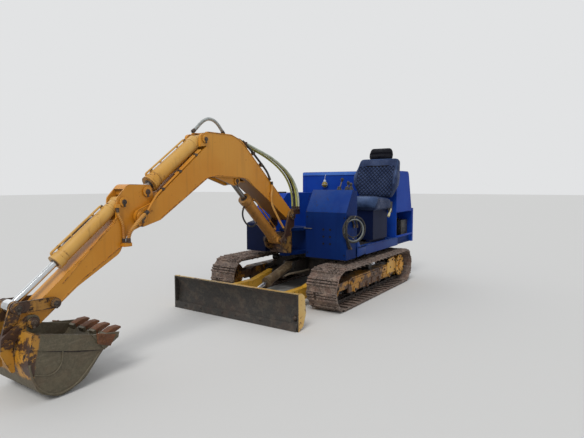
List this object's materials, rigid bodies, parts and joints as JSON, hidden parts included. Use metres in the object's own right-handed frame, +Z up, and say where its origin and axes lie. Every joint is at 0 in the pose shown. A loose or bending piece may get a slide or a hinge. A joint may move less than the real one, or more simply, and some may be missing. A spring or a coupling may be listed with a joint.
{
  "type": "mini excavator",
  "caption": "Compact tracked excavator with an open driver's station, cranked boom, dipper arm, digging bucket and front dozer blade.",
  "frame": {"origin": "middle of the whole machine in plan, on the ground, with the slew axis 1.05 m behind it", "axes": "+X forward toward the bucket, +Y to the driver's left, +Z up"},
  "size_m": [4.781, 1.5257, 1.7296],
  "materials": {
    "steel_track": "worn, rusty, dusty",
    "yellow_paint": "worn semi-gloss",
    "blue_paint": "faded semi-gloss",
    "dark_steel": "greasy, dusty",
    "worn_steel": "scraped, rusty",
    "chrome": "polished",
    "seat_fabric": "quilted, worn",
    "hose_rubber": "matt",
    "yellow_hose": "matt, faded",
    "steel_guard": "dull, worn",
    "lamp_yellow": "matt"
  },
  "bodies": {
    "undercarriage": {"blade_hose": "hose_rubber", "centre_frame": "dark_steel", "drive_motors": "dark_steel", "idlers": "yellow_paint", "rollers": "dark_steel", "slew_ring": "dark_steel", "sprockets": "yellow_paint", "track_frame_left": "yellow_paint", "track_frame_right": "yellow_paint", "track_left": "steel_track", "track_right": "steel_track"},
    "upper": {"console": "blue_paint", "console_hoses": "hose_rubber", "counterweight": "blue_paint", "deck": "blue_paint", "engine": "dark_steel", "floor_plate": "blue_paint", "front_box": "blue_paint", "headrest": "seat_fabric", "hood": "blue_paint", "levers": "dark_steel", "seat_back": "seat_fabric", "seat_base": "dark_steel", "seat_cushion": "seat_fabric", "side_tank": "blue_paint", "work_lamp": "lamp_yellow"},
    "boom": {"arch_hose": "steel_guard", "arm_crossing_hose": "yellow_hose", "boom": "yellow_paint", "boom_back_hose": "hose_rubber", "boom_hoses": "yellow_hose", "boom_pipes": "dark_steel"},
    "arm": {"arm": "yellow_paint", "arm_hose": "yellow_hose"},
    "arm_barrel": {"arm_cylinder": "yellow_paint"},
    "arm_piston": {"arm_rod": "chrome"},
    "blade": {"blade_arms": "yellow_paint", "blade_board": "worn_steel", "blade_edge": "worn_steel"},
    "blade_barrel": {"blade_cylinder": "dark_steel"},
    "blade_piston": {"blade_rod": "chrome"},
    "boom_barrel": {"boom_cylinder": "yellow_paint", "boom_cylinder_hose": "hose_rubber"},
    "boom_piston": {"boom_rod": "chrome"},
    "bucket": {"bucket": "worn_steel"},
    "bucket_barrel": {"bucket_cylinder": "yellow_paint", "bucket_cylinder_hose": "hose_rubber"},
    "bucket_piston": {"bucket_rod": "chrome"},
    "push_link": {"push_link": "yellow_paint"},
    "rear_door": {"rear_door": "blue_paint"},
    "swing_post": {"swing_post": "yellow_paint"},
    "tipping_link": {"tipping_link": "yellow_paint"}
  },
  "joints": [
    {"name": "slew", "type": "hinge", "parent": "undercarriage", "child": "upper", "pos_m": [-1.05, 0, 0.42], "axis": [0, 0, 1], "continuous": true},
    {"name": "boom_swing", "type": "hinge", "parent": "upper", "child": "swing_post", "pos_m": [-0.37, 0, 0.6], "axis": [0, 0, 1], "range_deg": [-55, 55]},
    {"name": "boom_lift", "type": "hinge", "parent": "swing_post", "child": "boom", "pos_m": [-0.32, 0, 0.87], "axis": [0, -1, 0], "range_deg": [-30, 30], "deforming": ["boom_hoses"]},
    {"name": "boom_cylinder_pivot", "type": "hinge", "parent": "swing_post", "child": "boom_barrel", "pos_m": [-0.187, 0, 0.632], "axis": [0, -1, 0], "range_deg": [-29.33, 29.33]},
    {"name": "boom_cylinder_stroke", "type": "slide", "parent": "boom_barrel", "child": "boom_piston", "axis": [0.7456, 0, 0.6664], "range_m": [-0.1415, 0.1415]},
    {"name": "arm_swing", "type": "hinge", "parent": "boom", "child": "arm", "pos_m": [1.48, 0, 0.96], "axis": [0, 1, 0], "range_deg": [0, 88], "deforming": ["arm_crossing_hose"]},
    {"name": "arm_cylinder_pivot", "type": "hinge", "parent": "boom", "child": "arm_barrel", "pos_m": [0.865, 0, 1.535], "axis": [0, -1, 0], "range_deg": [-0.16, 7.98], "deforming": ["arch_hose"]},
    {"name": "arm_cylinder_stroke", "type": "slide", "parent": "arm_barrel", "child": "arm_piston", "axis": [0.8026, 0, -0.5965], "range_m": [-0.0048, 0.2466]},
    {"name": "bucket_curl", "type": "hinge", "parent": "arm", "child": "bucket", "pos_m": [2.22, 0, 0.415], "axis": [0, 1, 0], "range_deg": [-120, 0]},
    {"name": "tipping_link_pivot", "type": "hinge", "parent": "arm", "child": "tipping_link", "pos_m": [2.095, 0, 0.5], "axis": [0, 1, 0], "range_deg": [-85.24, 1.67]},
    {"name": "push_link_pivot", "type": "hinge", "parent": "tipping_link", "child": "push_link", "pos_m": [2.295, 0, 0.512], "axis": [0, 1, 0], "range_deg": [-0.96, 49.02]},
    {"name": "bucket_cylinder_pivot", "type": "hinge", "parent": "arm", "child": "bucket_barrel", "pos_m": [1.6, 0, 1.065], "axis": [0, 1, 0], "range_deg": [-6.12, 0.12]},
    {"name": "bucket_cylinder_stroke", "type": "slide", "parent": "bucket_barrel", "child": "bucket_piston", "axis": [0.7825, 0, -0.6226], "range_m": [-0.2643, 0.0052]},
    {"name": "blade_lift", "type": "hinge", "parent": "undercarriage", "child": "blade", "pos_m": [-0.55, 0, 0.225], "axis": [0, -1, 0], "range_deg": [-13, 14]},
    {"name": "blade_cylinder_pivot", "type": "hinge", "parent": "undercarriage", "child": "blade_barrel", "pos_m": [-0.45, 0, 0.345], "axis": [0, -1, 0], "range_deg": [-14.62, 15.7], "deforming": ["blade_hose"]},
    {"name": "blade_cylinder_stroke", "type": "slide", "parent": "blade_barrel", "child": "blade_piston", "axis": [0.9622, 0, -0.2723], "range_m": [-0.0357, 0.0333]},
    {"name": "rear_door_hinge", "type": "hinge", "parent": "upper", "child": "rear_door", "pos_m": [-2.1118, 0, 1.2645], "axis": [0, 1, 0], "range_deg": [0, 80]}
  ],
  "couplings": [
    {"joint": "boom_cylinder_pivot", "follows": "boom_lift", "ratio": 0.94008},
    {"joint": "boom_cylinder_stroke", "follows": "boom_lift", "m_per_rad": 0.25993},
    {"joint": "arm_cylinder_pivot", "follows": "arm_swing", "ratio": 0.0889},
    {"joint": "arm_cylinder_stroke", "follows": "arm_swing", "m_per_rad": 0.15741},
    {"joint": "tipping_link_pivot", "follows": "bucket_curl", "ratio": 0.69637},
    {"joint": "push_link_pivot", "follows": "bucket_curl", "ratio": -0.40053},
    {"joint": "bucket_cylinder_pivot", "follows": "bucket_curl", "ratio": 0.04996},
    {"joint": "bucket_cylinder_stroke", "follows": "bucket_curl", "m_per_rad": 0.1237},
    {"joint": "blade_cylinder_pivot", "follows": "blade_lift", "ratio": 1.0795},
    {"joint": "blade_cylinder_stroke", "follows": "blade_lift", "m_per_rad": -0.14078}
  ]
}
